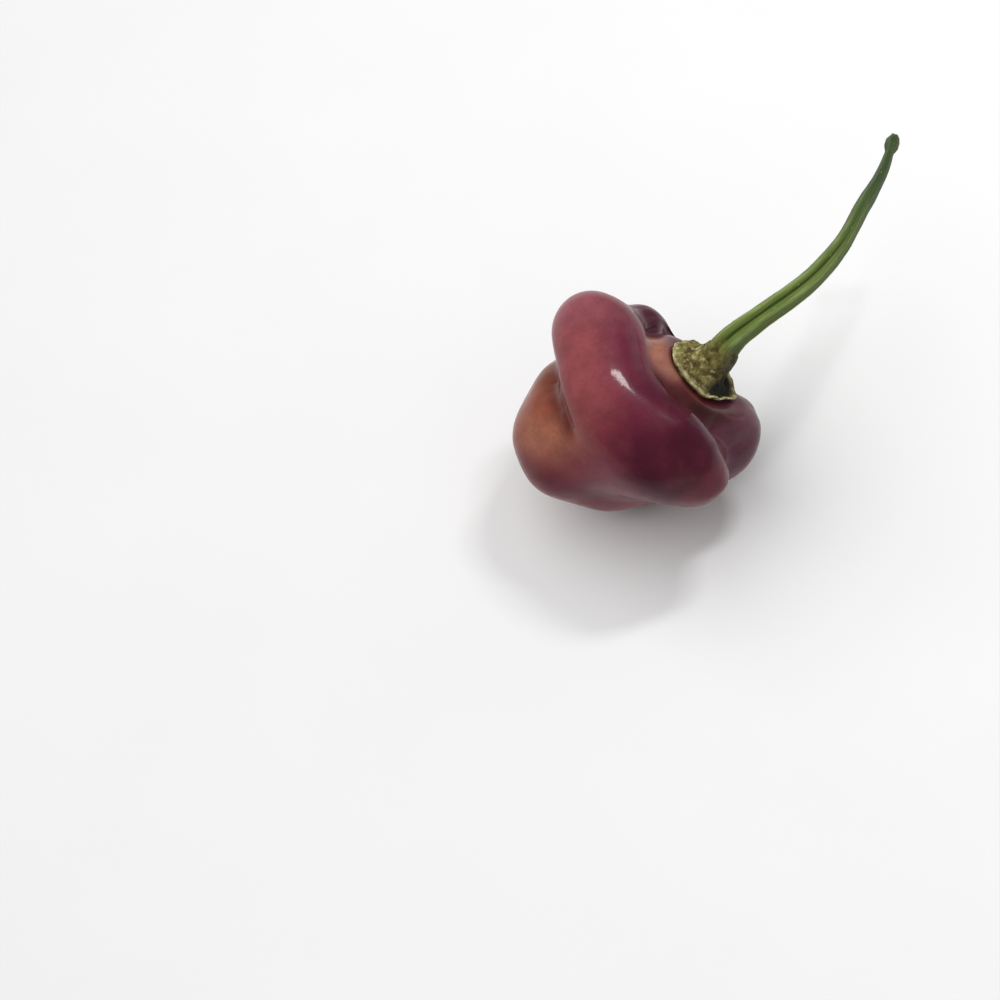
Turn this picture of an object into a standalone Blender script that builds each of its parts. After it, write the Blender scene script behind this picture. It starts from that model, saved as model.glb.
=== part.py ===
"""A small squat chilli pepper: a lobed, folded pod, a flared calyx and a long curved stem.

It lies on its side as picked, on a small flat spot under the pod. The origin is the middle of that
spot, +Z is up and +X runs from the pod towards the free end of the stem. Lengths are in metres.
"""

from collections import namedtuple
from math import cos, pi, radians, sin

import bmesh
import bpy
import numpy as np
from mathutils import Vector

MM = 0.001

# Pose of the pod: where the middle of its seat under the calyx is, the bearing of its axis about +Z
# from +X, and the axis's lift above the surface. The axis points out of the calyx.
SEAT_PLACE = Vector((9.4, -4.1, 19.5)) * MM
POD_HEADING = radians(-28)
POD_LIFT = radians(42)

# In the pod's own frame +Z is the axis, +X its skyward side and +Y its near flank, with the seat at 0.
# Half outline before the folds: distance from the centre line and height, from the seat over the
# shoulder and the widest ring to the blossom end.
POD_OUTLINE = np.array([
    (0.0, 0.0),
    (4.0, 0.0),
    (6.8, 0.5),
    (9.6, 0.4),
    (12.2, -1.9),
    (13.8, -6.0),
    (13.6, -11.0),
    (12.2, -16.4),
    (9.2, -21.4),
    (4.8, -23.9),
    (0.0, -24.3),
]) * MM
# Centre line: how far it runs off the axis, skyward and towards the near flank, at each height.
CENTRE_LINE = np.array([
    (0.0, 0.0, 0.0),
    (-2.0, 1.0, 0.2),
    (-6.5, 2.2, 0.5),
    (-12.0, 2.6, 0.1),
    (-18.0, 2.6, 0.0),
    (-24.3, 2.5, 0.0),
]) * MM
POD_RINGS = 48
POD_SIDES = 60
SEAT_RADIUS = 5.6 * MM
# The level seat is narrower on the far side, where the skin falls away at the rim of the calyx.
SEAT_FAR_TRIM = 1.3 * MM
SEAT_FAR_AROUND = radians(-95)
SEAT_FAR_SPREAD = radians(38)
SEAT_BLEND = 2.6 * MM

# A fold raises or sinks the skin along a line over the pod. Each point of the line is (around, along,
# share): around in degrees from the skyward side towards the near flank, along from 0 at the calyx to
# 1 at the blossom end, and the share of the fold's full rise there. Width is its spread to each side.
Fold = namedtuple("Fold", "name line rise width")
FOLDS = (
    Fold("top lobe", ((-50, 0.39, 1),), 3.6 * MM, 4.9 * MM),
    Fold("front shoulder", ((10, 0.41, 1), (50, 0.39, 1)), 0.9 * MM, 4.0 * MM),
    Fold("front belly", ((72, 0.41, 0.9), (96, 0.39, 1)), 2.6 * MM, 4.4 * MM),
    Fold("front flank", ((74, 0.68, 1), (104, 0.60, 1)), -1.9 * MM, 4.2 * MM),
    Fold("right lobe", ((140, 0.32, 1),), 1.4 * MM, 4.2 * MM),
    Fold("back lobe", ((-72, 0.27, 1),), 0.5 * MM, 2.4 * MM),
    Fold("far shoulder", ((-86, 0.205, 0.9), (-112, 0.22, 1), (-150, 0.22, 0.8)), -2.1 * MM, 2.7 * MM),
    Fold(
        "far rim",
        ((-80, 0.15, 0.4), (-92, 0.15, 1), (-112, 0.15, 1), (-135, 0.16, 0.5)),
        -1.7 * MM,
        1.4 * MM,
    ),
    Fold(
        "front rim",
        ((38, 0.23, 0.5), (56, 0.24, 1), (80, 0.27, 1), (98, 0.33, 0.7)),
        1.3 * MM,
        1.9 * MM,
    ),
    Fold("far side", ((-112, 0.32, 0.9), (-145, 0.36, 1)), -2.4 * MM, 4.6 * MM),
    Fold("resting belly", ((150, 0.58, 1), (172, 0.66, 1)), 1.5 * MM, 5.4 * MM),
    Fold(
        "seat hollow",
        ((-45, 0.20, 1), (-18, 0.20, 1), (9, 0.20, 1), (35, 0.19, 0.9)),
        -1.7 * MM,
        2.4 * MM,
    ),
    Fold(
        "back furrow",
        ((-50, 0.20, 0.7), (-62, 0.30, 1), (-80, 0.45, 0.6), (-98, 0.62, 0.35), (-110, 0.80, 0.1)),
        -2.6 * MM,
        2.0 * MM,
    ),
    Fold(
        "right furrow",
        (
            (50, 0.15, 0.5),
            (88, 0.20, 1),
            (114, 0.285, 1),
            (126, 0.44, 0.5),
            (128, 0.65, 0.2),
            (122, 0.8, 0),
        ),
        -3.0 * MM,
        1.9 * MM,
    ),
    Fold(
        "far furrow",
        ((-172, 0.18, 0.6), (-176, 0.32, 1), (-168, 0.50, 0.7), (-155, 0.7, 0.2)),
        -2.3 * MM,
        2.1 * MM,
    ),
    Fold(
        "waist crease",
        (
            (-95, 0.60, 0),
            (-72, 0.58, 0.4),
            (-53, 0.57, 0.65),
            (-20, 0.56, 0.95),
            (6, 0.55, 0.6),
            (24, 0.55, 0),
        ),
        -2.6 * MM,
        1.6 * MM,
    ),
    Fold("waist", ((-60, 0.58, 1), (-20, 0.57, 0.6)), -0.8 * MM, 3.0 * MM),
    Fold("blossom bulge", ((4, 0.75, 1), (30, 0.76, 1)), 1.7 * MM, 4.0 * MM),
    Fold("blossom slope", ((-52, 0.68, 1), (-30, 0.68, 1)), -0.7 * MM, 3.6 * MM),
    Fold("low bulge", ((50, 0.74, 1),), 0.6 * MM, 4.0 * MM),
    Fold("blossom scar", ((0, 1.0, 1),), -0.7 * MM, 1.6 * MM),
)

# Calyx: a flared cap, in the pod's frame. Its underside follows the seat, its upper side falls from
# the throat, where the stem goes in, to a thin rim that is drawn out at the end of each rib.
CALYX_GAP = 0.3 * MM
CALYX_OUTLINE = np.array([
    (5.4, 0.75),
    (5.05, 1.0),
    (4.4, 1.1),
    (3.7, 1.35),
    (3.1, 1.85),
    (2.75, 2.5),
    (2.55, 3.2),
]) * MM
CALYX_RIBS = 5
CALYX_RIB_RISE = 0.28 * MM
CALYX_TOOTH = 0.35 * MM
# How much narrower the cap is across its flanks than skyward, and by what share less on the near one.
CALYX_TRIM = 1.15 * MM
CALYX_TRIM_LEAN = 0.22
# The tooth on the low side is drawn out furthest.
CALYX_CORNER = 0.75 * MM
CALYX_CORNER_AROUND = radians(150)
CALYX_CORNER_SPREAD = radians(13)
CALYX_SIDES = 50

# Stem: a tapering, ribbed stalk along a curve, with a knob where it parted from the plant.
STEM_CURVE = np.array([
    (2.5, -1.15, 2.65),
    (2.95, -1.32, 3.15),
    (3.55, -1.25, 3.85),
    (5.4, -1.6, 5.15),
    (8.85, -2.4, 6.4),
    (16.6, -3.4, 7.3),
    (23.9, -2.3, 6.85),
    (30.35, 0.05, 6.35),
    (36.65, 2.35, 5.85),
    (42.1, 5.3, 5.4),
]) * MM
# Half thickness at each share of the stem's length.
STEM_GIRTH = np.array([
    (0.0, 2.3),
    (0.04, 1.92),
    (0.08, 1.76),
    (0.11, 1.66),
    (0.19, 1.52),
    (0.26, 1.5),
    (0.38, 1.38),
    (0.47, 1.28),
    (0.6, 1.05),
    (0.74, 1.02),
    (0.82, 0.82),
    (0.88, 0.72),
    (0.935, 0.58),
    (0.96, 0.92),
    (0.985, 0.92),
    (1.0, 0.58),
]) * (1.0, MM)
STEM_RIBS = 5
STEM_RIB_SHARE = 0.08
# The deepest groove between two ribs, which fades out past the middle of the stem.
GROOVE_AROUND = radians(114)
GROOVE_SHARE = 0.16
GROOVE_SPREAD = radians(15)
STEM_RINGS = 48
STEM_SIDES = 24


def smooth_step(low, high, value):
    share = np.clip((value - low) / (high - low), 0.0, 1.0)
    return share * share * (3.0 - 2.0 * share)


def smooth_curve(points, count):
    """Points at equal steps of length along the smooth curve through the given ones."""
    ends = np.vstack([2 * points[0] - points[1], points, 2 * points[-1] - points[-2]])
    fine = []
    for p0, p1, p2, p3 in zip(ends, ends[1:], ends[2:], ends[3:]):
        for u in np.linspace(0.0, 1.0, 40, endpoint=False):
            bow = 2 * p0 - 5 * p1 + 4 * p2 - p3
            twist = 3 * p1 - p0 - 3 * p2 + p3
            fine.append(0.5 * (2 * p1 + (p2 - p0) * u + bow * u ** 2 + twist * u ** 3))
    fine = np.array(fine + [points[-1]])
    run = np.concatenate([[0.0], np.cumsum(np.linalg.norm(np.diff(fine, axis=0), axis=1))])
    steps = np.linspace(0.0, run[-1], count)
    return np.column_stack([np.interp(steps, run, fine[:, k]) for k in range(fine.shape[1])])


def mesh_object(name, bm, colour, roughness):
    mesh = bpy.data.meshes.new(name)
    bmesh.ops.recalc_face_normals(bm, faces=bm.faces)
    bm.to_mesh(mesh)
    bm.free()
    mesh.shade_smooth()
    material = bpy.data.materials.new(name + " finish")
    material.use_nodes = True
    shader = material.node_tree.nodes["Principled BSDF"]
    shader.inputs["Base Color"].default_value = (*colour, 1.0)
    shader.inputs["Roughness"].default_value = roughness
    shader.inputs["Metallic"].default_value = 0.0
    mesh.materials.append(material)
    body = bpy.data.objects.new(name, mesh)
    bpy.context.scene.collection.objects.link(body)
    return body


def turn_about_axis(outline, sides):
    """Spin a half outline, given from one end of the axis to the other, into a closed mesh."""
    bm = bmesh.new()
    verts = [bm.verts.new((distance, 0.0, height)) for distance, height in outline]
    edges = [bm.edges.new(pair) for pair in zip(verts, verts[1:])]
    bmesh.ops.spin(
        bm, geom=verts + edges, cent=(0, 0, 0), axis=(0, 0, 1), angle=2 * pi, steps=sides, use_merge=True
    )
    bmesh.ops.remove_doubles(bm, verts=bm.verts, dist=1e-7)
    bmesh.ops.recalc_face_normals(bm, faces=bm.faces)
    bm.normal_update()
    return bm


def fold_rise(points, fold, outline):
    """Height that one fold adds at each point of the turned pod, by distance from the fold's line."""
    line = np.array(fold.line, float)
    steps = np.linspace(0.0, len(line) - 1.0, 1 + 10 * (len(line) - 1))
    around, along, share = (np.interp(steps, range(len(line)), line[:, k]) for k in range(3))
    around = np.radians(around)
    marks = np.linspace(0.0, 1.0, len(outline))
    distance = np.interp(along, marks, outline[:, 0])
    height = np.interp(along, marks, outline[:, 1])
    trail = np.column_stack([distance * np.cos(around), distance * np.sin(around), height])
    gaps = np.linalg.norm(points[:, None, :] - trail, axis=-1)
    return fold.rise * np.max(share * np.exp(-0.5 * (gaps / fold.width) ** 2), axis=-1)


def shape_pod(bm):
    """Raise and sink the folds of the turned pod, then shift it onto its centre line."""
    outline = smooth_curve(POD_OUTLINE, 400)
    centre = smooth_curve(CENTRE_LINE, 200)[::-1]
    points = np.array([vert.co for vert in bm.verts])
    normals = np.array([vert.normal for vert in bm.verts])
    rise = sum(fold_rise(points, fold, outline) for fold in FOLDS)
    distance = np.hypot(points[:, 0], points[:, 1])
    near_seat = points[:, 2] > -3.0 * MM
    around = np.arctan2(points[:, 1], points[:, 0])
    level = SEAT_RADIUS - SEAT_FAR_TRIM * bearing_bell(around, SEAT_FAR_AROUND, SEAT_FAR_SPREAD)
    rise *= np.where(near_seat, smooth_step(level, level + SEAT_BLEND, distance), 1.0)
    shaped = points + rise[:, None] * normals
    shaped[:, 0] += np.interp(points[:, 2], centre[:, 0], centre[:, 1])
    shaped[:, 1] += np.interp(points[:, 2], centre[:, 0], centre[:, 2])
    for vert, point in zip(bm.verts, shaped):
        vert.co = point


def add_pod(root):
    bm = turn_about_axis(smooth_curve(POD_OUTLINE, POD_RINGS), POD_SIDES)
    shape_pod(bm)
    pod = mesh_object("pod", bm, (0.16, 0.02, 0.035), 0.3)
    pod.location = SEAT_PLACE
    pod.rotation_euler = (0.0, POD_LIFT - pi / 2, POD_HEADING + pi)
    pod.parent = root
    return pod


def rest_on_surface(body):
    """Press the skin that lies below the surface up onto it, which leaves the flat spot."""
    bpy.context.view_layer.update()
    place = body.matrix_world
    back = place.inverted()
    for vert in body.data.vertices:
        point = place @ vert.co
        if point.z < 0.0:
            point.z = 0.0
            vert.co = back @ point


def bearing_bell(around, middle, spread):
    """1 at the middle bearing and less to each side, the same after a full turn."""
    return np.exp((np.cos(around - middle) - 1.0) / spread ** 2)


def add_calyx(pod):
    seat = smooth_curve(POD_OUTLINE, 400)
    distances = np.linspace(0.0, CALYX_OUTLINE[0, 0] - 0.1 * MM, 9)
    under = np.column_stack([distances, np.interp(distances, seat[:60, 0], seat[:60, 1]) + CALYX_GAP])
    upper = smooth_curve(CALYX_OUTLINE, 12)
    throat = np.array([(1.3 * MM, upper[-1, 1]), (0.0, upper[-1, 1])])
    bm = turn_about_axis(np.vstack([under, upper, throat]), CALYX_SIDES)
    rim = CALYX_OUTLINE[0, 0]
    for vert in bm.verts:
        around = np.arctan2(vert.co.y, vert.co.x)
        distance = np.hypot(vert.co.x, vert.co.y)
        crest = 0.5 + 0.5 * cos(CALYX_RIBS * around)
        minor = 0.5 + 0.5 * cos(2 * CALYX_RIBS * around)
        is_upper = vert.co.z > 0.72 * MM
        outward = smooth_step(0.6 * rim, rim, distance)
        tooth = CALYX_TOOTH * (0.7 * crest ** 3 + 0.3 * minor) - 0.1 * MM * sin(3 * around)
        tooth += CALYX_CORNER * bearing_bell(around, CALYX_CORNER_AROUND, CALYX_CORNER_SPREAD)
        tooth -= CALYX_TRIM * sin(around) ** 2 * (1.0 - CALYX_TRIM_LEAN * sin(around))
        vert.co.x *= 1.0 + outward * tooth / rim
        vert.co.y *= 1.0 + outward * tooth / rim
        if is_upper:
            on_slope = smooth_step(2.7 * MM, 3.6 * MM, distance)
            vert.co.z += CALYX_RIB_RISE * on_slope * (crest ** 2 + 0.4 * minor)
    calyx = mesh_object("calyx", bm, (0.13, 0.12, 0.04), 0.7)
    calyx.parent = pod
    return calyx


def stem_frames(centres):
    """Two directions across the stem at each ring, carried along it without twisting."""
    ahead = np.gradient(centres, axis=0)
    ahead /= np.linalg.norm(ahead, axis=1)[:, None]
    side = np.cross((0.0, 0.0, 1.0), ahead[0])
    sides = []
    for way in ahead:
        side = side - way * np.dot(side, way)
        side = side / np.linalg.norm(side)
        sides.append(side)
    sides = np.array(sides)
    return sides, np.cross(ahead, sides)


def add_stem(root):
    centres = smooth_curve(STEM_CURVE, STEM_RINGS)
    share = np.linspace(0.0, 1.0, STEM_RINGS)
    girth = np.interp(share, STEM_GIRTH[:, 0], STEM_GIRTH[:, 1])
    sides, tops = stem_frames(centres)
    bm = bmesh.new()
    rings = []
    groove_depth = GROOVE_SHARE * (1.0 - smooth_step(0.35, 0.7, share))
    for centre, half, side, top, depth in zip(centres, girth, sides, tops, groove_depth):
        ring = []
        for around in 2 * pi * np.arange(STEM_SIDES) / STEM_SIDES:
            off_groove = around - GROOVE_AROUND
            ribbed = 1.0 - STEM_RIB_SHARE * cos(STEM_RIBS * off_groove)
            ribbed -= depth * np.exp(-(off_groove / GROOVE_SPREAD) ** 2)
            point = centre + half * ribbed * (cos(around) * side + sin(around) * top)
            ring.append(bm.verts.new(point))
        rings.append(ring)
    for ring, following in zip(rings, rings[1:]):
        for k in range(STEM_SIDES):
            n = (k + 1) % STEM_SIDES
            bm.faces.new((ring[k], ring[n], following[n], following[k]))
    bm.faces.new(rings[0])
    bm.faces.new(rings[-1])
    stem = mesh_object("stem", bm, (0.08, 0.11, 0.03), 0.55)
    stem.location = SEAT_PLACE
    stem.parent = root
    return stem


def main():
    for old in list(bpy.data.objects):
        bpy.data.objects.remove(old)
    root = bpy.data.objects.new("pepper", None)
    bpy.context.scene.collection.objects.link(root)
    pod = add_pod(root)
    rest_on_surface(pod)
    add_calyx(pod)
    add_stem(root)


if __name__ == "__main__":
    main()
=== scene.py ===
"""A small squat chilli pepper dressed for rendering: its pod skin, calyx and stem."""

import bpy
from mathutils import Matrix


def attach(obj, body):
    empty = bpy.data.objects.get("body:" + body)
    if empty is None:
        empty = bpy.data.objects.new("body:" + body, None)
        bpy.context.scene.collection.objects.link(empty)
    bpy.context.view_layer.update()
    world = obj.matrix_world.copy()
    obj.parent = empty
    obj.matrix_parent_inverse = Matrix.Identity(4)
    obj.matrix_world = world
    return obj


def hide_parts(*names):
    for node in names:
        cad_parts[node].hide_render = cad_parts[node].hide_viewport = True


bl_info = {
    "name": "Chilli Pepper",
    "version": (1, 0, 0),
    "blender": (4, 5, 0),
    "location": "3D View > Sidebar > Pepper",
    "description": "Makes a small lobed chilli pepper with its calyx and stem, and a plain stage for it",
    "category": "Add Mesh",
}

from collections import namedtuple
from math import cos, pi, radians, sin

import bmesh
import bpy
import numpy as np
from bpy.props import FloatProperty, FloatVectorProperty, IntProperty, PointerProperty
from mathutils import Euler, Matrix, Quaternion, Vector, noise

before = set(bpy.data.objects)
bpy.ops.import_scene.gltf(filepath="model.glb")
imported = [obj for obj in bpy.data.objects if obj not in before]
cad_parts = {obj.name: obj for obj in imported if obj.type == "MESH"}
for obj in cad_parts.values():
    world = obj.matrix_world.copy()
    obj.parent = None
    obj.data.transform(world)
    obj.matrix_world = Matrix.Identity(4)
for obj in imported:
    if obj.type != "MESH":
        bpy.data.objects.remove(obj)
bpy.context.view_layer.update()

MM = 0.001

# Pose of the pod, as in the solids: the middle of its seat under the calyx, the bearing of its axis
# about +Z from +X, and the axis's lift above the surface. The axis points out of the calyx.
SEAT_PLACE = Vector((9.4, -4.1, 19.5)) * MM
POD_HEADING = radians(-28)
POD_LIFT = radians(42)
POD_TURN = np.array(Euler((0.0, POD_LIFT - pi / 2, POD_HEADING + pi)).to_matrix())

# Half outline of the pod before its folds, and its centre line, as in the solids.
POD_OUTLINE = np.array([
    (0.0, 0.0),
    (4.0, 0.0),
    (6.8, 0.5),
    (9.6, 0.4),
    (12.2, -1.9),
    (13.8, -6.0),
    (13.6, -11.0),
    (12.2, -16.4),
    (9.2, -21.4),
    (4.8, -23.9),
    (0.0, -24.3),
]) * MM
CENTRE_LINE = np.array([
    (0.0, 0.0, 0.0),
    (-2.0, 1.0, 0.2),
    (-6.5, 2.2, 0.5),
    (-12.0, 2.6, 0.1),
    (-18.0, 2.6, 0.0),
    (-24.3, 2.5, 0.0),
]) * MM
POD_RINGS = 200
POD_SIDES = 250
SEAT_RADIUS = 5.6 * MM
# The level seat is narrower on the far side, where the skin falls away at the rim of the calyx.
SEAT_FAR_TRIM = 1.3 * MM
SEAT_FAR_AROUND = radians(-95)
SEAT_FAR_SPREAD = radians(38)
SEAT_BLEND = 2.6 * MM
# Down to this depth below the seat, folds fade out towards its axis.
SEAT_DEPTH = 3.0 * MM
# The blossom scar's reach, as a share of the pod's outline, and how far it stands out.
BLOSSOM_SCAR_REACH = 0.028
BLOSSOM_SCAR_RISE = 0.22 * MM

# A fold raises or sinks the skin along a line over the pod. Each point of the line is (around, along,
# share): around in degrees from the skyward side towards the near flank, along from 0 at the calyx to
# 1 at the blossom end, and the share of the fold's full rise there. Width is its spread to each side.
Fold = namedtuple("Fold", "name line rise width")
FOLDS = (
    Fold("top lobe", ((-50, 0.39, 1),), 3.6 * MM, 4.9 * MM),
    Fold("front shoulder", ((10, 0.41, 1), (50, 0.39, 1)), 0.9 * MM, 4.0 * MM),
    Fold("front belly", ((72, 0.41, 0.9), (96, 0.39, 1)), 2.6 * MM, 4.4 * MM),
    Fold("front flank", ((74, 0.68, 1), (104, 0.60, 1)), -1.9 * MM, 4.2 * MM),
    Fold("right lobe", ((140, 0.32, 1),), 1.4 * MM, 4.2 * MM),
    Fold("back lobe", ((-72, 0.27, 1),), 0.5 * MM, 2.4 * MM),
    Fold("far shoulder", ((-86, 0.205, 0.9), (-112, 0.22, 1), (-150, 0.22, 0.8)), -2.1 * MM, 2.7 * MM),
    Fold("far rim",
         ((-80, 0.15, 0.4), (-92, 0.15, 1), (-112, 0.15, 1), (-135, 0.16, 0.5)),
         -1.7 * MM, 1.4 * MM),
    Fold("front rim",
         ((38, 0.23, 0.5), (56, 0.24, 1), (80, 0.27, 1), (98, 0.33, 0.7)),
         1.3 * MM, 1.9 * MM),
    Fold("far side", ((-112, 0.32, 0.9), (-145, 0.36, 1)), -2.4 * MM, 4.6 * MM),
    Fold("resting belly", ((150, 0.58, 1), (172, 0.66, 1)), 1.5 * MM, 5.4 * MM),
    Fold("seat hollow",
         ((-45, 0.20, 1), (-18, 0.20, 1), (9, 0.20, 1), (35, 0.19, 0.9)),
         -1.7 * MM, 2.4 * MM),
    Fold("back furrow",
         ((-50, 0.20, 0.7), (-62, 0.30, 1), (-80, 0.45, 0.6), (-98, 0.62, 0.35), (-110, 0.80, 0.1)),
         -2.6 * MM, 2.0 * MM),
    Fold("right furrow",
         ((50, 0.15, 0.5), (88, 0.20, 1), (114, 0.285, 1),
          (126, 0.44, 0.5), (128, 0.65, 0.2), (122, 0.8, 0)),
         -3.0 * MM, 1.9 * MM),
    Fold("far furrow",
         ((-172, 0.18, 0.6), (-176, 0.32, 1), (-168, 0.50, 0.7), (-155, 0.7, 0.2)),
         -2.3 * MM, 2.1 * MM),
    Fold("waist crease",
         ((-95, 0.60, 0), (-72, 0.58, 0.4), (-53, 0.57, 0.65),
          (-20, 0.56, 0.95), (6, 0.55, 0.6), (24, 0.55, 0)),
         -2.6 * MM, 1.6 * MM),
    Fold("waist", ((-60, 0.58, 1), (-20, 0.57, 0.6)), -0.8 * MM, 3.0 * MM),
    Fold("blossom bulge", ((4, 0.75, 1), (30, 0.76, 1)), 1.7 * MM, 4.0 * MM),
    Fold("blossom slope", ((-52, 0.68, 1), (-30, 0.68, 1)), -0.7 * MM, 3.6 * MM),
    Fold("low bulge", ((50, 0.74, 1),), 0.6 * MM, 4.0 * MM),
    Fold("blossom scar", ((0, 1.0, 1),), -0.7 * MM, 1.6 * MM),
)
# Finer folds that only the skin has. Their rise is a share of the fold depth that a user sets.
FINE_FOLDS = (
    Fold("crease line",
         ((-42, 0.50, 0), (-22, 0.51, 1), (0, 0.515, 1), (18, 0.52, 0.7), (34, 0.53, 0)),
         -1.0, 0.55 * MM),
    Fold("belly pleat", ((52, 0.50, 0), (60, 0.44, 1), (70, 0.40, 0.7), (80, 0.38, 0)), 0.22, 0.8 * MM),
    Fold("back pleat", ((-120, 0.20, 0), (-130, 0.30, 1), (-136, 0.45, 0)), -0.7, 0.8 * MM),
    Fold("far pleat", ((150, 0.18, 0), (158, 0.28, 1), (160, 0.42, 0)), -0.6, 0.8 * MM),
    Fold("blossom pleat one", ((-60, 0.99, 1), (-64, 0.88, 0.8), (-70, 0.76, 0)), -0.5, 0.7 * MM),
    Fold("blossom pleat two", ((40, 0.99, 1), (46, 0.90, 0.8), (50, 0.80, 0)), -0.45, 0.7 * MM),
    Fold("blossom pleat three", ((150, 0.99, 1), (156, 0.88, 0.8), (160, 0.74, 0)), -0.5, 0.7 * MM),
)

# A colour zone tints the skin along a line of (around, along) points; later zones lie over earlier
# ones. Width is the spread to each side, and share is how much of its colour shows on the line.
Zone = namedtuple("Zone", "name colour line width share")
ZONES = (
    Zone("far side", "plum", ((180, 0.30), (200, 0.50)), 9.0 * MM, 0.8),
    Zone("blossom end", "tan", ((0, 0.98), (20, 0.86)), 4.5 * MM, 0.75),
    Zone("blossom flush", "red", ((-130, 0.80), (-100, 0.70)), 4.0 * MM, 0.7),
    Zone("underside flush", "pink", ((150, 0.60), (120, 0.72)), 4.0 * MM, 0.6),
    Zone("top lobe", "mauve", ((-60, 0.40), (-36, 0.38), (-28, 0.34)), 4.2 * MM, 0.95),
    Zone("ridge flush", "pink", ((-14, 0.37), (3, 0.40), (22, 0.42), (33, 0.47)), 2.6 * MM, 0.95),
    Zone("ridge side", "purple", ((-12, 0.27), (12, 0.26), (34, 0.28), (50, 0.32)), 2.2 * MM, 0.9),
    Zone("middle", "wine", ((36, 0.45), (44, 0.55)), 3.0 * MM, 0.8),
    # The deep belly and ridge edge zones are partly the skin's own dark purple and partly painted shade.
    Zone("deep belly", "deep",
         ((50, 0.38), (58, 0.41), (72, 0.42), (74, 0.35), (62, 0.30)), 2.4 * MM, 0.95),
    Zone("ridge edge", "deep", ((26, 0.26), (40, 0.24), (60, 0.24), (80, 0.28)), 1.3 * MM, 0.7),
    Zone("tan bulge", "tan",
         ((-40, 0.60), (-24, 0.60), (-3, 0.64), (10, 0.69), (14, 0.61)), 3.0 * MM, 0.95),
    Zone("low flush", "red", ((24, 0.745), (38, 0.72), (54, 0.70), (70, 0.65)), 2.5 * MM, 0.95),
    Zone("back lobe", "plum", ((-84, 0.26), (-60, 0.24), (-62, 0.18)), 2.8 * MM, 0.95),
    Zone("right lobe", "slate", ((108, 0.19), (126, 0.22), (124, 0.32)), 3.0 * MM, 0.85),
    # Painted shade on the tan bulge beside the crease.
    Zone("tan side", "rust_shade", ((-44, 0.60), (-24, 0.62), (-4, 0.65)), 1.8 * MM, 0.4),
    Zone("tan light", "apricot", ((14, 0.66), (20, 0.60), (22, 0.55)), 2.0 * MM, 0.45),
    Zone("crease shade", "rust_shade",
         ((-34, 0.56), (-20, 0.56), (-6, 0.55), (8, 0.535), (20, 0.53)), 1.4 * MM, 0.9),
    Zone("seat ring", "apricot", ((-30, 0.165), (-12, 0.17), (4, 0.155), (19, 0.14)), 1.15 * MM, 0.95),
    Zone("seat shade", "rust_shade", ((40, 0.15), (56, 0.135), (72, 0.125)), 1.1 * MM, 0.75),
    Zone("furrow shade", "umber",
         ((14, 0.20), (30, 0.175), (50, 0.155), (72, 0.15), (96, 0.15), (116, 0.15)), 1.0 * MM, 0.95),
)

CALYX_OUTLINE = np.array([
    (5.4, 0.75),
    (5.05, 1.0),
    (4.4, 1.1),
    (3.7, 1.35),
    (3.1, 1.85),
    (2.75, 2.5),
    (2.55, 3.2),
]) * MM
CALYX_RIBS = 5
CALYX_SIDES = 220
CALYX_UNDER_RINGS = 22
CALYX_TOP_RINGS = 63
CALYX_TOOTH = 0.35 * MM
# How much narrower the cap is across its flanks than skyward, and by what share less on the near one.
CALYX_TRIM = 1.15 * MM
CALYX_TRIM_LEAN = 0.22
# The tooth on the low side is drawn out furthest.
CALYX_CORNER = 0.75 * MM
CALYX_CORNER_AROUND = radians(150)
CALYX_CORNER_SPREAD = radians(13)
# Waves round the cap's rim, out and up: how many, where they start, and their size.
RIM_NICKS = ((17, 1.0, 0.05 * MM), (29, 0.0, 0.04 * MM))
RIM_WAVES = ((4, 0.5, 0.07 * MM), (9, 0.0, 0.05 * MM))
# The rim is a thin lip: its lower edge is set back under the upper one.
RIM_UNDERCUT = 0.45 * MM
RIM_HEIGHT = 0.84 * MM
# Rings on the lip, from -1 at its lower edge to 1 at its upper one.
RIM_LEANS = (-0.7, -0.25, 0.25, 0.7)
RIM_BUMPS = ((radians(88), 0.28 * MM), (radians(66), 0.14 * MM))
RIM_BUMP_SPREAD = radians(5)
RIM_BEAD = 0.1 * MM
RIM_BEAD_INSET = 0.07 * MM
# The cap's ribs rise and fade between these distances from its axis.
RIB_START = (2.7 * MM, 3.6 * MM)
RIB_END = (4.6 * MM, 5.2 * MM)
# On the low side the rim lifts and the cap sinks into a dish, darkened with painted shade; on the high
# side it swells.
DISH_AROUND = radians(150)
DISH_RIM_LIFT = 0.25 * MM
DISH_RING = (3.9 * MM, 0.75 * MM)
DISH_SHADE_RING = (3.8 * MM, 1.15 * MM)
SWELL_AROUND = radians(-30)
SWELL_RISE = 0.35 * MM
SWELL_RING = (3.8 * MM, 0.8 * MM)
CALYX_UNDER = 0.25 * MM
THROAT_RADIUS = 2.5 * MM
THROAT_HEIGHT = 3.2 * MM

# Stem line, from the seat's middle, and its half thickness at shares of its length, as in the solids.
STEM_CURVE = np.array([
    (2.5, -1.15, 2.65),
    (2.95, -1.32, 3.15),
    (3.55, -1.25, 3.85),
    (5.4, -1.6, 5.15),
    (8.85, -2.4, 6.4),
    (16.6, -3.4, 7.3),
    (23.9, -2.3, 6.85),
    (30.35, 0.05, 6.35),
    (36.65, 2.35, 5.85),
    (42.1, 5.3, 5.4),
]) * MM
STEM_GIRTH = np.array([
    (0.0, 2.3),
    (0.04, 1.92),
    (0.08, 1.76),
    (0.11, 1.66),
    (0.19, 1.52),
    (0.26, 1.5),
    (0.38, 1.38),
    (0.47, 1.28),
    (0.6, 1.05),
    (0.74, 1.02),
    (0.82, 0.82),
    (0.88, 0.72),
    (0.935, 0.58),
    (0.96, 0.92),
    (0.985, 0.92),
    (1.0, 0.58),
]) * (1.0, MM)
STEM_RINGS = 240
STEM_SIDES = 72
STEM_ROOT = 1.0 * MM
STEM_ROOT_FLARE = 1.04
STEM_UNEVENNESS = 0.10
GROOVE_AROUND = radians(114)
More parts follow.
